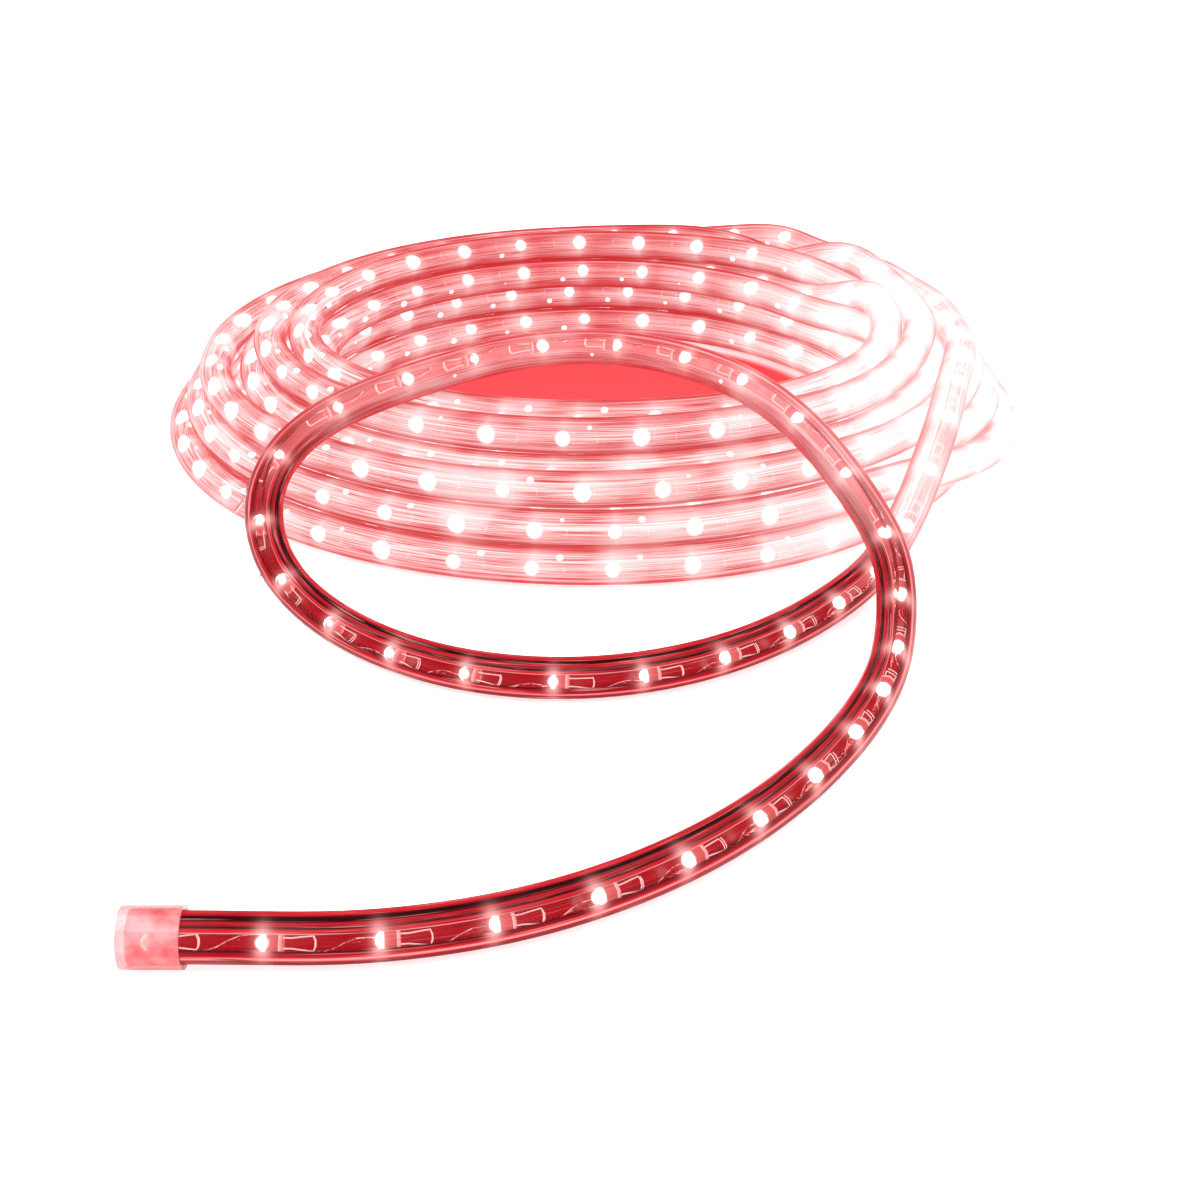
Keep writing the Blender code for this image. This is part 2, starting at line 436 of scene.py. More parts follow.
def makeStreakGroup():
    # long streaks that run with the rope, and short dashes: they lay out the painted dark lines, highlights and
    # glow clouds, and the moulding's bumps
    inputs = {"Across": 3.2, "Along": 9.0, "Dash Along": 55.0, "Detail": 2.0}
    group, inlet, outlet = newGroup("ropeStreaks", inputs, ("Streaks", "Dashes"))
    place = storedOf(group, "ropePlace")
    around = [productOf(group, place[k], inlet["Across"]) for k in (1, 2)]
    kinds = (("Streaks", "Along", 0.0), ("Dashes", "Dash Along", lightSetup["dashShift"]))
    for output, stretch, shift in kinds:
        run = linearOf(group, place[0], inlet[stretch], shift)
        spot = fed(group, "ShaderNodeCombineXYZ", dict(zip("XYZ", (run, *around)))).outputs[0]
        grain = fed(group, "ShaderNodeTexNoise", {"Vector": spot, "Scale": 1.0, "Detail": inlet["Detail"]})
        group.links.new(grain.outputs["Fac"], outlet[output])
    return group


lampCount = int(ropeLength / lightSetup["ledPitch"] - lightSetup["endGap"])
lampLine = cutLine(ropePoints, (lampCount - 1) * lightSetup["ledPitch"])
lampGlow = makeLampGlowGroup()
ropeStreaks = makeStreakGroup()
print("lamps counted", lampCount)

# The jacket: clear soft PVC filled with red light
jacketSetup = {
    "radius": 0.0065,
    "sides": 16,
    "spacing": 0.005,
    "black": (0.006, 0.0, 0.0005),
    "maroon": (0.09, 0.0, 0.003),
    "deepRed": (0.26, 0.002, 0.007),
    "litRed": (0.56, 0.008, 0.016),
    "crowdRed": (0.60, 0.014, 0.022),  # the darkest line in the crowded coil
    "shadedRimRed": (0.50, 0.008, 0.014),
    "innerRed": (0.36, 0.005, 0.011),
    "innerPink": (1.0, 0.24, 0.25),  # the inner wall where the free rope crosses the coil
    "pink": (1.0, 0.36, 0.36),
    "halo": (1.35, 0.62, 0.60),
    "haze": (1.1, 0.80, 0.79),
    "cone": (1.05, 0.88, 0.87),
    "white": (1.25, 1.2, 1.18),
    "glow": 1.0,
    "roughness": 0.22,
    "refraction": 1.08,
    "lampSide": 0.185,  # how far off the middle line the lamps lie, in rope radii
    "lampAhead": 0.001,  # metres from a lamp's start to the middle of its disc
    "sparkAhead": 0.0105,
    "heap": (freeLength - 0.16, freeLength + 0.02),  # metres along: the coil's crowd begins
    "near": (-0.062, 0.005),  # metres: the free rope's stretch over the coil shares some of it
    "nearRight": 0.04,  # metres sooner on the right
    "nearShare": (0.34, 0.42),
    "farSide": (0.12, 0.24),  # metres: the coil's back stays a deeper red
    "brightSide": (0.03, 0.13),  # metres: from here to here the coil's right side burns out
    "glows": [(0.0028, 0.013), (0.0020, 0.03)],  # size and trail of each lamp's glow and of its flare
    "sparkSize": 0.0012,
    "sparkRise": 0.42,
    "sparkWidth": 0.16,
    "streaks": (4.6, 5.0, 60.0, 2.5),  # how fine across, along, along the dashes, and their detail
    "waver": (0.10, 0.45),
    "lift": 2.2,
    # the pairs below are a gain and a base, or the edges of a soft step; widths are in rope radii
    "patchEdges": (0.30, 0.62),
    "patchShare": (0.8, 0.62),
    "patchWidth": 0.74,
    "patchFar": (-0.8, 1.0),
    "fogScale": 34.0,
    "fogShare": 0.6,
    "fogEdges": (0.46, 0.66),
    "fogFar": (-0.6, 1.0),
    "trailShare": (0.50, 0.30),
    "trailWidth": (0.26, 0.44),
    "brightShare": (0.7, 0.3),
    "discWidth": 0.43,
    "discChance": 0.26,  # how much the discs differ in size
    "discCrowd": (-0.36, 0.54),
    "discSoft": 0.25,
    "flareWidth": 0.5,
    "flareShare": (-0.6, 1.0),
    "burnShare": (0.8, 0.55),
    "burnWidth": 0.82,
    "burnFar": (-0.45, 1.0),
    "keptBurning": (-0.45, 0.9),  # the red lines left over the light: on the right, at the back, in the fog
    "keptFar": (0.4, 0.6),
    "keptFog": (-0.8, 1.0),
    "shadedRimEdges": (0.74, 0.98),
    "innerShare": 0.92,
    "baseShare": 0.86,
    "covers": {"heap": 0.84, "disc": 0.9, "flare": 0.8, "lines": 0.8},
    "bump": (0.12, 0.0006),
    "refractionDarkLines": [(0.38, 0.0), (0.41, 0.9), (0.44, 0.0), (0.53, 0.0), (0.55, 0.7), (0.57, 0.0)],
    "highlightLines": [(0.45, 0.0), (0.465, 0.9), (0.48, 0.0), (0.60, 0.0), (0.62, 0.9), (0.64, 0.0)],
    "dashes": [(0.45, 0.0), (0.60, 1.0)],
    "window": [(0.42, 1.0), (0.46, 0.32), (0.72, 0.32), (0.76, 1.0)],  # the clear stretch over the lamps
}

# In the crowded coil: pale clouds of painted glow and thin red lines of painted shade, by the value of the
# streaks
crowdGlowClouds = [(0.34, 0.9), (0.42, 0.1), (0.46, 1.0), (0.50, 0.45), (0.53, 0.0)]
crowdGlowClouds += [(0.56, 0.85), (0.60, 0.2), (0.64, 1.0)]
crowdLines = [(0.39, 0.0), (0.42, 1.0), (0.445, 0.0), (0.505, 0.0), (0.53, 1.0), (0.55, 0.0)]
crowdLines += [(0.585, 0.0), (0.605, 0.9), (0.625, 0.0)]

# Painted light and shade across the rope, from its upper edge to its lower one: dark refraction lines, the
# conductors' painted shadows, lit red and pink highlight lines, and darker edges
refractionBands = [
    (0.0, "maroon"), (0.03, "litRed"), (0.10, "litRed"), (0.13, "black"), (0.20, "black"),
    (0.22, "litRed"), (0.30, "deepRed"), (0.32, "black"), (0.345, "black"), (0.365, "litRed"),
    (0.415, "litRed"), (0.43, "pink"), (0.445, "deepRed"), (0.60, "litRed"), (0.735, "deepRed"),
    (0.76, "black"), (0.785, "deepRed"), (0.86, "litRed"), (0.895, "pink"), (0.92, "litRed"),
    (0.965, "deepRed"), (1.0, "maroon"),
]


def jacketZones(tree, along):
    # the crowded coil, its back, and its burnt-out right side
    look = jacketSetup
    place = node(tree, "ShaderNodeSeparateXYZ")
    tree.links.new(objectPlace(tree), place.inputs[0])
    right = rangeOf(tree, place.outputs[0], *look["brightSide"])
    far = rangeOf(tree, place.outputs[1], *look["farSide"])
    forward = linearOf(tree, right, look["nearRight"], place.outputs[1])
    near = productOf(tree, rangeOf(tree, forward, *look["near"]), linearOf(tree, right, *look["nearShare"]))
    heap = highestOf(tree, rangeOf(tree, along, *look["heap"]), near)
    return heap, far, right


def makeJacketMaterial():
    # painted light and shade: dark refraction lines and bright highlight lines along the rope, and a white disc
    # of lamp light painted at each lamp
    look = jacketSetup
    material, tree, surface = newMaterial("rope_jacket_lit_pvc")

    def scaled(source, label):
        # times the first value under this name, plus the second
        return linearOf(tree, source, *look[label])

    lampPlace = lightSetup["ledOffset"] + look["lampAhead"]
    sparkPlace = lightSetup["ledOffset"] + look["sparkAhead"]
    glow, burst = (
        useGroup(tree, lampGlow, Offset=lampPlace, Spot_Size=size, Trail_Length=reach)
        for size, reach in look["glows"]
    )
    spark = useGroup(tree, lampGlow, Offset=sparkPlace, Spot_Size=look["sparkSize"])
    fine = dict(zip(("Across", "Along", "Dash_Along", "Detail"), look["streaks"]))
    streaks, dashes = useGroup(tree, ropeStreaks, **fine)[:2]
    along, _, offset = storedOf(tree, "ropePlace")
    heap, far, right = jacketZones(tree, along)
    across = linearOf(tree, offset, 0.5, scaled(streaks, "waver"))
    body = rampOf(tree, across, [(spot, look[name]) for spot, name in refractionBands])
    # painted refraction: dark lines along the rope, as the clear wall bends the light
    dark = rampOf(tree, streaks, look["refractionDarkLines"])
    body = mixOf(tree, dark, body, look["maroon"])
    # the crowded turns light each other up
    lift = mathOf(tree, "MINIMUM", productOf(tree, heap, look["lift"]), 1.0)
    body = mixOf(tree, lift, body, look["crowdRed"], "LIGHTEN")
    # painted glow: pale clouds on the crowded coil, fewer at its back and towards the rope's edges
    patch = scaled(rangeOf(tree, dashes, *look["patchEdges"]), "patchShare")
    patch = productOf(tree, patch, scaled(far, "patchFar"))
    patch = productOf(tree, patch, bellOf(tree, offset, look["patchWidth"]))
    glowCloud = productOf(tree, rampOf(tree, streaks, crowdGlowClouds), patch, heap)
    body = mixOf(tree, glowCloud, body, look["haze"])
    # painted glow: soft uneven patches of light where many lamps lie close together
    fog = rangeOf(tree, grainOf(tree, look["fogScale"], 1.5), *look["fogEdges"])
    fog = productOf(tree, fog, heap, look["fogShare"], scaled(far, "fogFar"))
    body = mixOf(tree, productOf(tree, fog, bellOf(tree, offset, 1.0)), body, look["cone"])
    # light trailing along the rope from each lamp, wider in the coil
    trail = productOf(tree, glow["Trail"], scaled(heap, "trailShare"))
    trail = productOf(tree, trail, bellOf(tree, offset, scaled(heap, "trailWidth")))
    body = mixOf(tree, trail, body, mixOf(tree, heap, look["pink"], look["cone"]))
    # painted highlights: broken bright lines where the moulding catches the lamps' light
    bright = rampOf(tree, streaks, look["highlightLines"])
    bright = productOf(tree, bright, rampOf(tree, dashes, look["dashes"]), scaled(burst["Trail"], "brightShare"))
    body = mixOf(tree, bright, body, look["pink"])
    # each lamp's light painted on the jacket: its own white disc, the small painted glints beside it, and its
    # upright flare
    beside = mathOf(tree, "SUBTRACT", offset, look["lampSide"])
    edge = linearOf(tree, glow["Chance"], look["discChance"], scaled(heap, "discCrowd"))
    disc = productOf(tree, glow["Spot"], bellOf(tree, beside, look["discWidth"]))
    disc = rangeOf(tree, disc, edge, mathOf(tree, "ADD", edge, look["discSoft"]))
    above = bellOf(tree, mathOf(tree, "ADD", offset, look["sparkRise"]), look["sparkWidth"])
    glint = productOf(tree, spark["Spot"], above, heap, spark["Chance"])
    disc = highestOf(tree, disc, rangeOf(tree, glint, 0.2, 0.35))
    flare = productOf(tree, burst["Spot"], bellOf(tree, beside, look["flareWidth"]))
    flare = productOf(tree, flare, scaled(heap, "flareShare"))
    body = mixOf(tree, flare, body, look["halo"])
    # the right side is overexposed, most near the lamps
    burning = productOf(tree, right, heap)
    blown = productOf(tree, scaled(burst["Trail"], "burnShare"), burning)
    blown = productOf(tree, blown, bellOf(tree, offset, look["burnWidth"]), scaled(far, "burnFar"))
    body = mixOf(tree, blown, body, look["white"])
    # painted shade: red lines and darker red edges stay over the painted light, most of all at the back
    kept = heap
    for source, label in ((burning, "keptBurning"), (far, "keptFar"), (fog, "keptFog")):
        kept = productOf(tree, kept, linearOf(tree, source, *look[label]))
    thin = rampOf(tree, streaks, crowdLines)
    body = mixOf(tree, productOf(tree, thin, kept), body, look["crowdRed"])
    shadedRim = rangeOf(tree, mathOf(tree, "ABSOLUTE", offset), *look["shadedRimEdges"])
    body = mixOf(tree, productOf(tree, shadedRim, kept), body, look["shadedRimRed"])
    body = mixOf(tree, disc, body, look["white"])
    # the wall's inner face glows evenly, and is seen through the clear stretch
    inside = node(tree, "ShaderNodeNewGeometry").outputs["Backfacing"]
    inner = mixOf(tree, lift, look["innerRed"], look["innerPink"])
    body = mixOf(tree, inside, body, mixOf(tree, look["innerShare"], body, inner))
    base = mixOf(tree, look["baseShare"], body, look["black"])
    dress(tree, surface, base, body, look["glow"], look["roughness"])
    surface.inputs["IOR"].default_value = look["refraction"]
    cover = look["covers"]
    window = highestOf(tree, rampOf(tree, across, look["window"]), productOf(tree, heap, cover["heap"]))
    lit = highestOf(tree, productOf(tree, disc, cover["disc"]), productOf(tree, flare, cover["flare"]))
    drawn = productOf(tree, highestOf(tree, dark, bright), cover["lines"])
    tree.links.new(highestOf(tree, window, lit, drawn, inside), surface.inputs["Alpha"])
    bumpBy(tree, surface, streaks, *look["bump"])
    return material


jacketMaterial = makeJacketMaterial()
print("jacket material made")

# Geometry that runs with the rope: a section swept along its line, or units set out along it


def newTree(name, inputs):
    tree = bpy.data.node_groups.new(name, "GeometryNodeTree")
    tree.interface.new_socket("Geometry", in_out="INPUT", socket_type="NodeSocketGeometry")
    for label, kind in inputs.items():
        tree.interface.new_socket(label, in_out="INPUT", socket_type="NodeSocket" + kind)
    tree.interface.new_socket("Geometry", in_out="OUTPUT", socket_type="NodeSocketGeometry")
    return tree, node(tree, "NodeGroupInput").outputs, node(tree, "NodeGroupOutput").inputs


def finishTree(tree, shape, inlet, outlet):
    real = fed(tree, "GeometryNodeRealizeInstances", {"Geometry": shape}).outputs[0]
    finish = fed(tree, "GeometryNodeSetMaterial", {"Geometry": real, "Material": inlet["Material"]})
    tree.links.new(finish.outputs[0], outlet[0])


def storeOn(tree, shape, name, values):
    # keep three values on the mesh under this name
    joined = fed(tree, "ShaderNodeCombineXYZ", dict(zip("XYZ", values))).outputs[0]
    kept = {"Geometry": shape, "Value": joined}
    store = fed(tree, "GeometryNodeStoreNamedAttribute", kept, data_type="FLOAT_VECTOR", domain="POINT")
    store.inputs["Name"].default_value = name
    return store.outputs[0]


def makeSweepTree():
    # a round section, or a pair set to both sides of the line, swept along the line
    inputs = {
        "Radius": "Float",
        "Sides": "Int",
        "Offset": "Float",
        "Spacing": "Float",
        "Facing": "Vector",
        "Material": "Material",
    }
    tree, inlet, outlet = newTree("sweepAlongRope", inputs)
    spacing = {"Curve": inlet["Geometry"], "Length": inlet["Spacing"]}
    spaced = fed(tree, "GeometryNodeResampleCurve", spacing, mode="LENGTH").outputs[0]
    upright = fed(tree, "GeometryNodeSetCurveNormal", {"Curve": spaced}, mode="Z_UP").outputs[0]
    line = node(tree, "GeometryNodeCaptureAttribute", domain="POINT")
    line.capture_items.new("FLOAT", "along")
    line.capture_items.new("VECTOR", "heading")
    run = node(tree, "GeometryNodeSplineParameter").outputs["Length"]
    heading = node(tree, "GeometryNodeInputTangent").outputs[0]
    feed(tree, [line.inputs[label] for label in ("Geometry", "along", "heading")], (upright, run, heading))
    circle = {"Resolution": inlet["Sides"], "Radius": inlet["Radius"]}
    section = fed(tree, "GeometryNodeCurvePrimitiveCircle", circle, mode="RADIUS").outputs["Curve"]
    pair = node(tree, "GeometryNodeJoinGeometry")
    for way in (-1.0, 1.0):
        shift = fed(tree, "ShaderNodeCombineXYZ", {"Y": productOf(tree, inlet["Offset"], way)}).outputs[0]
        moved = fed(tree, "GeometryNodeTransform", {"Geometry": section, "Translation": shift})
        tree.links.new(moved.outputs[0], pair.inputs[0])
    apart = mathOf(tree, "GREATER_THAN", inlet["Offset"], 0.00001)
    choice = {"Switch": apart, "False": section, "True": pair.outputs[0]}
    profile = fed(tree, "GeometryNodeSwitch", choice, input_type="GEOMETRY").outputs[0]
    swept = {"Curve": line.outputs["Geometry"], "Profile Curve": profile, "Fill Caps": True}
    shape = fed(tree, "GeometryNodeCurveToMesh", swept).outputs[0]
    # where each point lies around the rope, counted from the side that the lamps face
    tangent = line.outputs["heading"]
    here = node(tree, "GeometryNodeInputPosition").outputs[0]
    litSide = vectorOf(tree, "NORMALIZE", vectorOf(tree, "SUBTRACT", inlet["Facing"], here))
    toward = vectorOf(tree, "DOT_PRODUCT", tangent, litSide, "Value")
    level = node(tree, "ShaderNodeVectorMath", operation="SCALE")
    feed(tree, (level.inputs[0], level.inputs["Scale"]), (tangent, toward))
    front = vectorOf(tree, "NORMALIZE", vectorOf(tree, "SUBTRACT", litSide, level.outputs[0]))
    flank = vectorOf(tree, "CROSS_PRODUCT", tangent, front)
    outward = node(tree, "GeometryNodeInputNormal").outputs[0]
    around = [vectorOf(tree, "DOT_PRODUCT", outward, way, "Value") for way in (front, flank)]
    shape = storeOn(tree, shape, "ropePlace", (line.outputs["along"], *around))
    # how square the rope lies to the eye, and how far along its core lies behind each point of its surface
    slant = vectorOf(tree, "LENGTH", vectorOf(tree, "CROSS_PRODUCT", tangent, litSide), None, "Value")
    depth = mathOf(tree, "DIVIDE", inlet["Radius"], mathOf(tree, "MAXIMUM", slant, 0.4))
    shape = storeOn(tree, shape, "ropeView", (slant, productOf(tree, depth, toward)))
    smooth = fed(tree, "GeometryNodeSetShadeSmooth", {"Geometry": shape}).outputs[0]
    finishTree(tree, smooth, inlet, outlet)
    return tree


def ropeCurve(line):
    curve = bpy.data.curves.new("rope_line", "CURVE")
    curve.dimensions = "3D"
    spline = curve.splines.new("POLY")
    spline.points.add(len(line) - 1)
    spline.points.foreach_set("co", np.hstack([line, np.ones((len(line), 1))]).ravel())
    return curve


def fromTree(name, tree, values, material, line):
    # run the tree on the line and keep the result as a plain mesh
    guide = intoScene(bpy.data.objects.new(name + "_guide", ropeCurve(line)))
    modifier = guide.modifiers.new("nodes", "NODES")
    modifier.node_group = tree
    sockets = {item.name: item.identifier for item in tree.interface.items_tree if item.in_out == "INPUT"}
    for label, value in values.items():
        modifier[sockets[label]] = value
    modifier[sockets["Material"]] = material
    bpy.context.view_layer.update()
    evaluated = guide.evaluated_get(bpy.context.evaluated_depsgraph_get())
    mesh = bpy.data.meshes.new_from_object(evaluated)
    mesh.name = name
    mesh.materials.clear()
    mesh.materials.append(material)
    made = intoScene(bpy.data.objects.new(name, mesh))
    guide.modifiers.clear()
    bpy.data.objects.remove(guide, do_unlink=True)
    print(name, "made,", sum(len(face.vertices) - 2 for face in mesh.polygons), "triangles")
    return made


def sweepValues(setup):
    values = {label: setup[label.lower()] for label in ("Radius", "Sides", "Spacing")}
    return {**values, "Offset": setup.get("offset", 0.0), "Facing": lightSetup["facing"]}


sweepTree = makeSweepTree()
ropeJacket = fromTree("rope_jacket", sweepTree, sweepValues(jacketSetup), jacketMaterial, ropePoints)


# Lamps and their wires, sealed inside the jacket
lampSetup = {
    "sideways": 0.0012,
    "bodyRadius": 0.00245,
    "flangeRadius": 0.0029,
    "bodyLength": 0.0052,
    "flangeLength": 0.0009,
    "sides": 8,
    "tipRadius": 0.0004,
    "dome": [(0.0003, 0.5), (0.0011, 0.84), (0.0024, 1.0)],  # how far on, and share of the body's radius
    "backShare": 0.5,
    "zones": [0.0, 0.05, 0.15, 0.35, 0.7, 0.85, 0.95, 1.0],
    "tipColour": (1.0, 0.5, 0.48),
    "middleColour": (0.05, 0.009, 0.009),
    "flangeColour": (0.11, 0.06, 0.058),
    "glow": 16.0,
    "speckle": 900.0,
    "speckleShare": 0.25,
    "roughness": (0.12, 0.12),
    "seed": 3,
}
wireSetup = {
    "radius": 0.00018,
    "linkThickness": 0.8,  # the link wires' share of that
    "leadSpread": 0.00127,
    "leadLength": 0.0065,
    "leadWiden": 1.25,
    "hook": (0.0006, 0.0012),  # how far the bent-back end stands out and runs on
    "sway": 0.0004,
    "linkDepth": (0.0011, -0.0024),  # where the link wire starts, and how far it sinks
    "linkWiden": 1.5,
    "second": (-0.9, 0.75, 0.0004),  # the second wire: the first, mirrored, narrower and moved over
    # painted light and shade: how brightly each wire is painted as lit by the lamps, the leads most, the second
    # link wire least
    "zones": {"lead": 1.0, "link": 0.45, "second": 0.1},
    "spin": 0.3,  # how unevenly the wires are turned, in radians
    "bright": (1.0, 0.74, 0.72),
    "dull": (0.22, 0.006, 0.01),
    "glow": 1.1,
    "speckle": 700.0,
    "unevenness": 1.6,
    "brightFrom": (0.1, 0.8),
    "roughness": (0.3, 0.15),
    "metallic": 0.85,
}


def ringAt(shape, layer, points, zone):
    ring = [shape.verts.new(point) for point in points]
    for vertex in ring:
        vertex[layer] = zone
    return ring


def joinRings(shape, rings):
    # walls between neighbouring rings, and a face over each end
    for low, high in zip(rings, rings[1:]):
        for step in range(len(low)):
            after = (step + 1) % len(low)
            shape.faces.new((low[step], low[after], high[after], high[step]))
    shape.faces.new(rings[0][::-1])
    shape.faces.new(rings[-1])


def aroundAxis(sides):
    angles = [2 * math.pi * step / sides for step in range(sides)]
    return [(math.cos(angle), math.sin(angle)) for angle in angles]


def thinWire(shape, points, radius, zone):
    # a square-section wire through the points, closed at both ends
    layer = shape.verts.layers.float.get("wireLitShare") or shape.verts.layers.float.new("wireLitShare")
    points = [Vector((x, y + lampSetup["sideways"], z)) for x, y, z in points]
    rings = []
    for i, point in enumerate(points):
        heading = (points[min(i + 1, len(points) - 1)] - points[max(i - 1, 0)]).normalized()
        across = heading.cross(Vector((1.0, 0.013, 0.02))).normalized()
        up = heading.cross(across)
        corners = [point + (across * c + up * s) * radius for c, s in aroundAxis(4)]
        rings.append(ringAt(shape, layer, corners, zone))
    joinRings(shape, rings)


def unitObject(name, build):
    shape = bmesh.new()
    build(shape)
    bmesh.ops.recalc_face_normals(shape, faces=shape.faces)
    mesh = bpy.data.meshes.new(name)
    shape.to_mesh(mesh)
    shape.free()
    mesh.shade_smooth()
    return bpy.data.objects.new(name, mesh)


def buildLamp(shape):
    # a domed body with a flange, turned about its own axis
    body = lampSetup["bodyRadius"]
    length = lampSetup["bodyLength"]
    flange = lampSetup["flangeRadius"]
    end = length + lampSetup["flangeLength"]
    profile = [(0.0, lampSetup["tipRadius"])] + [(along, body * share) for along, share in lampSetup["dome"]]
    profile += [(length, body), (length, flange), (end, flange), (end, body * lampSetup["backShare"])]
    layer = shape.verts.layers.float.new("lampZone")
    rings = []
    for (along, radius), zone in zip(profile, lampSetup["zones"]):
        height = lightSetup["ledOffset"] + along
        around = aroundAxis(lampSetup["sides"])
        spots = [(radius * c, radius * s + lampSetup["sideways"], height) for c, s in around]
        rings.append(ringAt(shape, layer, spots, zone))
    joinRings(shape, rings)


def buildWires(shape):
    setup = wireSetup
    spread = setup["leadSpread"]
    wide = spread * setup["leadWiden"]
    out, onward = setup["hook"]
    start = lightSetup["ledOffset"] + lampSetup["bodyLength"] + lampSetup["flangeLength"]
    end = start + setup["leadLength"]
    for side in (-1.0, 1.0):
        lead = [(0.0, side * spread, start - 0.0002), (0.0, side * spread, start + 0.002)]
        lead.append((0.0003 * side, side * wide, end - 0.0015))
        for step in range(1, 5):  # the bent-back end of the lead, a flat D
            angle = math.pi * step / 5
            bow = (wide + out) * math.cos(angle)
            lead.append((0.0005 * side, side * bow, end + onward * math.sin(angle)))
        thinWire(shape, lead, setup["radius"], setup["zones"]["lead"])
    link = []
    for step in range(7):  # the slack wire that slants across to the next lamp
        share = step / 6
        sway = setup["sway"] * math.sin(2.5 * math.pi * share)
        along = end + share * (lightSetup["ledPitch"] + lightSetup["ledOffset"] - end + 0.001)
        depth = setup["linkDepth"][0] + setup["linkDepth"][1] * share
        link.append((depth, spread * setup["linkWiden"] * math.cos(math.pi * share) + sway, along))
    deep, narrow, over = setup["second"]
    second = [(deep * x, narrow * y + over, z) for x, y, z in link]
    thickness = setup["radius"] * setup["linkThickness"]
    thinWire(shape, link, thickness, setup["zones"]["link"])
    thinWire(shape, second, thickness, setup["zones"]["second"])


def makeUnitTree():
    # one unit at each lamp pitch along the line, turned to face the same point
    inputs = {
        "Unit": "Object",
        "Count": "Int",
        "Spin": "Float",
        "Seed": "Int",
        "Facing": "Vector",
        "Material": "Material",
    }
    tree, inlet, outlet = newTree("unitsAlongRope", inputs)
    upright = fed(tree, "GeometryNodeSetCurveNormal", {"Curve": inlet["Geometry"]}, mode="Z_UP").outputs[0]
    spots = fed(tree, "GeometryNodeCurveToPoints", {"Curve": upright, "Count": inlet["Count"]}, mode="COUNT")
    spin = node(tree, "FunctionNodeRandomValue", data_type="FLOAT")
    lowest = productOf(tree, inlet["Spin"], -1.0)
    feed(tree, (spin.inputs[2], spin.inputs[3], spin.inputs["Seed"]), (lowest, inlet["Spin"], inlet["Seed"]))
    twist = fed(tree, "FunctionNodeAxisAngleToRotation", {"Angle": spin.outputs[1]})
    twist.inputs["Axis"].default_value = (0.0, 0.0, 1.0)
    here = node(tree, "GeometryNodeInputPosition").outputs[0]
    aim = {"Rotation": spots.outputs["Rotation"], "Vector": vectorOf(tree, "SUBTRACT", inlet["Facing"], here)}
    facing = fed(tree, "FunctionNodeAlignRotationToVector", aim, axis="X", pivot_axis="Z")
    both = {"Rotation": facing.outputs[0], "Rotate By": twist.outputs[0]}
    turn = fed(tree, "FunctionNodeRotateRotation", both, rotation_space="LOCAL").outputs[0]
    unit = fed(tree, "GeometryNodeObjectInfo", {"Object": inlet["Unit"]}).outputs["Geometry"]
    places = {"Points": spots.outputs["Points"], "Instance": unit, "Rotation": turn}
    finishTree(tree, fed(tree, "GeometryNodeInstanceOnPoints", places).outputs[0], inlet, outlet)
    return tree


def makeLampMaterial():
    # water-clear lamp lit from its chip: white at the tip, red towards the flange
    material, tree, surface = newMaterial("lamp_lit_epoxy")
    zone = node(tree, "ShaderNodeAttribute", attribute_name="lampZone")
    tip, middle, flange = (lampSetup[part] for part in ("tipColour", "middleColour", "flangeColour"))
    stops = [(0.0, tip), (0.12, tip), (0.34, middle), (0.76, middle), (0.85, flange), (1.0, middle)]
    colour = rampOf(tree, zone.outputs["Fac"], stops)
    grain = grainOf(tree, lampSetup["speckle"])
    speckled = mixOf(tree, productOf(tree, grain, lampSetup["speckleShare"]), colour, middle)
    roughness = linearOf(tree, grain, *lampSetup["roughness"])
    dress(tree, surface, colour, speckled, lampSetup["glow"], roughness)
    return material


def makeWireMaterial():
    # tinned wire, lit pink and red by the lamps
    material, tree, surface = newMaterial("tinned_wire")
    look = wireSetup
    grain = grainOf(tree, look["speckle"], 3.0)
    zone = node(tree, "ShaderNodeAttribute", attribute_name="wireLitShare").outputs["Fac"]
    lit = linearOf(tree, mathOf(tree, "SUBTRACT", grain, 0.5), look["unevenness"], zone)
    colour = mixOf(tree, rangeOf(tree, lit, *look["brightFrom"]), look["dull"], look["bright"])
    dress(tree, surface, colour, colour, look["glow"], linearOf(tree, grain, *look["roughness"]))
    surface.inputs["Metallic"].default_value = look["metallic"]
    return material


unitTree = makeUnitTree()
lampUnit = unitObject("lamp_unit", buildLamp)
wireUnit = unitObject("wire_unit", buildWires)
lampValues = {
    "Unit": lampUnit,
    "Count": lampCount,
    "Spin": 0.0,
    "Seed": lampSetup["seed"],
    "Facing": lightSetup["facing"],
}
wireValues = {**lampValues, "Unit": wireUnit, "Spin": wireSetup["spin"]}
lamps = fromTree("led_lamps", unitTree, lampValues, makeLampMaterial(), lampLine)
wires = fromTree("lamp_wires", unitTree, wireValues, makeWireMaterial(), lampLine)
for unit in (lampUnit, wireUnit):
    bpy.data.objects.remove(unit, do_unlink=True)

# The two stranded conductors, one on each side of the lamps
conductorSetup = {
    "radius": 0.0006,
    "sides": 5,
    "offset": 0.0043,
    "spacing": 0.009,
    "strandTurns": 420.0,  # lay of the strands, turns a metre
    "strandsSeen": 3.0,
    "strand": (0.55, 0.06, 0.06),
    "shadedGroove": (0.02, 0.0, 0.001),
    "lit": (1.0, 0.45, 0.43),
    "glow": 0.25,
    "lampGlow": (0.005, 0.01),
    "litShare": 0.6,
    "roughness": (-0.25, 0.55),
    "metallic": 0.7,
    "bump": (1.0, 0.0002),
}


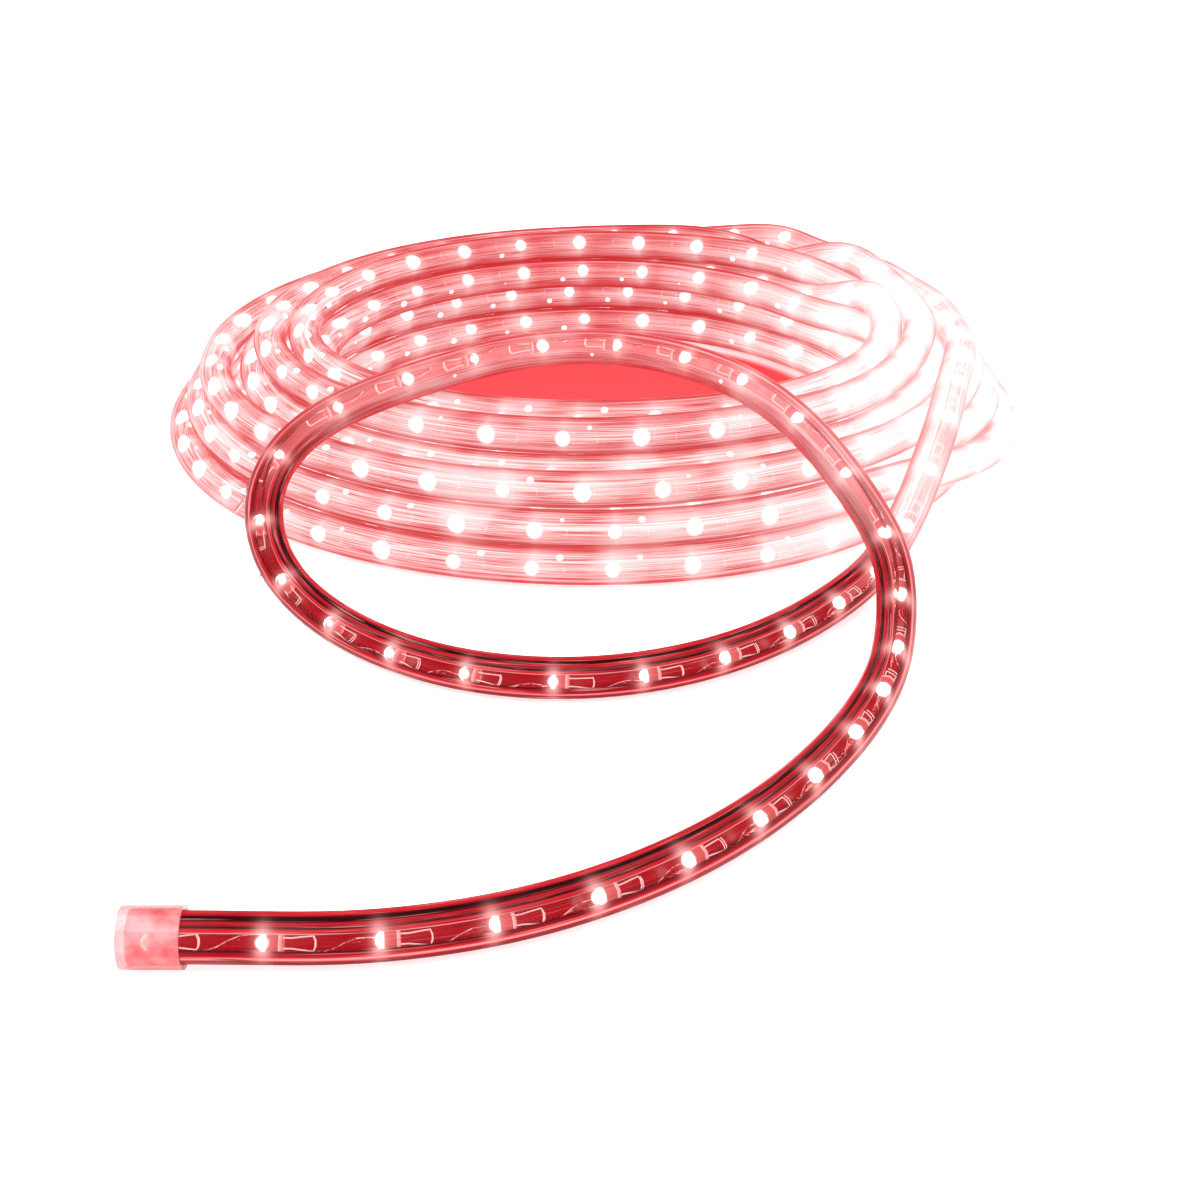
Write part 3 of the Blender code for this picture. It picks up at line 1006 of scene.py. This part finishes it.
def makeConductorMaterial():
    # fine slanting strands, dark against the lit core, with painted shade in the grooves between them and the
    # lamps' red light painted into their colour and glow, brightest near each lamp
    look = conductorSetup
    material, tree, surface = newMaterial("conductor_stranded")
    along, front, flank = storedOf(tree, "ropePlace")
    turn = mathOf(tree, "ARCTAN2", front, flank)
    lay = productOf(tree, along, 2 * math.pi * look["strandTurns"])
    wave = mathOf(tree, "SINE", linearOf(tree, turn, look["strandsSeen"], lay))
    strand = linearOf(tree, wave, 0.5, 0.5)
    size, reach = look["lampGlow"]
    glow = useGroup(tree, lampGlow, Spot_Size=size, Trail_Length=reach)
    colour = mixOf(tree, strand, look["shadedGroove"], look["strand"])
    colour = mixOf(tree, productOf(tree, glow["Trail"], look["litShare"]), colour, look["lit"])
    dress(tree, surface, colour, colour, look["glow"], linearOf(tree, strand, *look["roughness"]))
    surface.inputs["Metallic"].default_value = look["metallic"]
    bumpBy(tree, surface, strand, *look["bump"])
    return material


strandedMaterial = makeConductorMaterial()
conductors = fromTree("conductors", sweepTree, sweepValues(conductorSetup), strandedMaterial, ropePoints)

# End caps: the frame's own cups, in clear moulded plastic
capSetup = {
    "clear": (0.80, 0.26, 0.27),
    "blush": (0.55, 0.05, 0.06),
    "shadedRim": (0.25, 0.01, 0.015),
    "glow": 0.35,
    "cover": 0.62,
    "speckle": 180.0,
    "blotch": (0.35, 0.7),
    "shadedRimEdges": (0.25, 0.75),
    "roughness": (0.3, 0.1),
    "bump": (0.1, 0.0003),
}


def makeCapMaterial():
    # clear moulded plastic, reddened by the light that reaches the rope's end
    material, tree, surface = newMaterial("cap_clear_moulded")
    look = capSetup
    grain = grainOf(tree, look["speckle"], 4.0)
    tint = rampOf(tree, grain, list(zip(look["blotch"], (look["clear"], look["blush"]))))
    # painted shade: the cap darkens towards its edges as they turn away from the eye
    edge = node(tree, "ShaderNodeLayerWeight")
    edge.inputs["Blend"].default_value = 0.5
    tint = mixOf(tree, rangeOf(tree, edge.outputs["Facing"], *look["shadedRimEdges"]), tint, look["shadedRim"])
    dress(tree, surface, tint, tint, look["glow"], linearOf(tree, grain, *look["roughness"]))
    surface.inputs["Alpha"].default_value = look["cover"]
    bumpBy(tree, surface, grain, *look["bump"])
    return material


capMaterial = makeCapMaterial()
capNodes = [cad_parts["tail_end_cap"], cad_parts["inner_end_cap"]]
for cap in capNodes:
    cap.data.materials.clear()
    cap.data.materials.append(capMaterial)
print("caps dressed")

# The pieces take their places in the frame
for piece in (ropeJacket, lamps, wires, conductors):
    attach(piece, "root")
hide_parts("rope_coil", "rope_loop", "rope_inner_end")

# Pale floor, soft studio light
studioSetup = {
    "floorColour": (0.95, 0.95, 0.95),
    "boreGlow": (0.56, 0.03, 0.036),  # the rope's light on the floor inside the coil
    "boreRadius": (0.098, 0.112),
    "floorGlow": 0.68,  # the table is lit through, so shadows stay faint
    "floorSize": 40.0,
    "floorLevel": -0.0003,
    "speckle": 30.0,
    "speckleShare": 0.04,
    "speckleColour": (0.8, 0.8, 0.8),
    "roughness": 0.6,
    "shine": 0.1,
    "world": 1.1,
    # each lamp over the table: where it stands, where it aims, its size and its power
    "lights": {
        "key_light": ((-0.6, -0.5, 1.6), (0, 0, 0), (1.6, 1.2), 26.0),
        "fill_light": ((0.9, 0.6, 1.5), (0, 0.05, 0), (1.4, 1.0), 12.0),
    },
    "bloom": {"Threshold": 3.0, "Strength": 0.25, "Size": 0.06},
}


def makeFloor():
    mesh = bpy.data.meshes.new("floor")
    half = studioSetup["floorSize"] / 2
    level = studioSetup["floorLevel"]
    corners = [(-half, -half, level), (half, -half, level), (half, half, level), (-half, half, level)]
    mesh.from_pydata(corners, [], [(0, 1, 2, 3)])
    material, tree, surface = newMaterial("floor_pale")
    shade = productOf(tree, grainOf(tree, studioSetup["speckle"]), studioSetup["speckleShare"])
    pale = mixOf(tree, shade, studioSetup["floorColour"], studioSetup["speckleColour"])
    # painted light: the rope's red light laid into the floor's colour and glow as a pool inside the bore
    middle = node(tree, "ShaderNodeVectorMath", operation="DISTANCE")
    middle.inputs[1].default_value = (coilCentre.x, coilCentre.y, level)
    tree.links.new(objectPlace(tree), middle.inputs[0])
    inner, outer = studioSetup["boreRadius"]
    pool = rangeOf(tree, middle.outputs["Value"], outer, inner)
    pale = mixOf(tree, pool, pale, studioSetup["boreGlow"])
    dress(tree, surface, pale, pale, studioSetup["floorGlow"], studioSetup["roughness"])
    surface.inputs["Specular IOR Level"].default_value = studioSetup["shine"]
    mesh.materials.append(material)
    floor = intoScene(bpy.data.objects.new("floor", mesh))


def softLight(name, place, aim, size, power):
    data = bpy.data.lights.new(name, "AREA")
    data.shape = "RECTANGLE"
    data.size, data.size_y = size
    data.energy = power
    light = intoScene(bpy.data.objects.new(name, data))
    light.location = place
    light.rotation_euler = (Vector(aim) - Vector(place)).to_track_quat("-Z", "Y").to_euler()


def makeStudio():
    world = bpy.data.worlds.new("studio_world")
    world.use_nodes = True
    sky = world.node_tree.nodes["Background"].inputs
    sky[0].default_value = (1.0, 1.0, 1.0, 1.0)
    sky[1].default_value = studioSetup["world"]
    bpy.context.scene.world = world
    makeFloor()
    for name, light in studioSetup["lights"].items():
        softLight(name, *light)


def makeBloom():
    # the lamps overexpose the picture a little, as they do in the photo
    scene = bpy.context.scene
    scene.view_settings.view_transform = "Standard"
    scene.use_nodes = True
    tree = scene.node_tree
    tree.nodes.clear()
    layers = node(tree, "CompositorNodeRLayers")
    bloom = node(tree, "CompositorNodeGlare", glare_type="FOG_GLOW")
    for label, value in studioSetup["bloom"].items():
        bloom.inputs[label].default_value = value
    picture = node(tree, "CompositorNodeComposite")
    tree.links.new(layers.outputs["Image"], bloom.inputs["Image"])
    tree.links.new(bloom.outputs["Image"], picture.inputs["Image"])


makeStudio()
makeBloom()
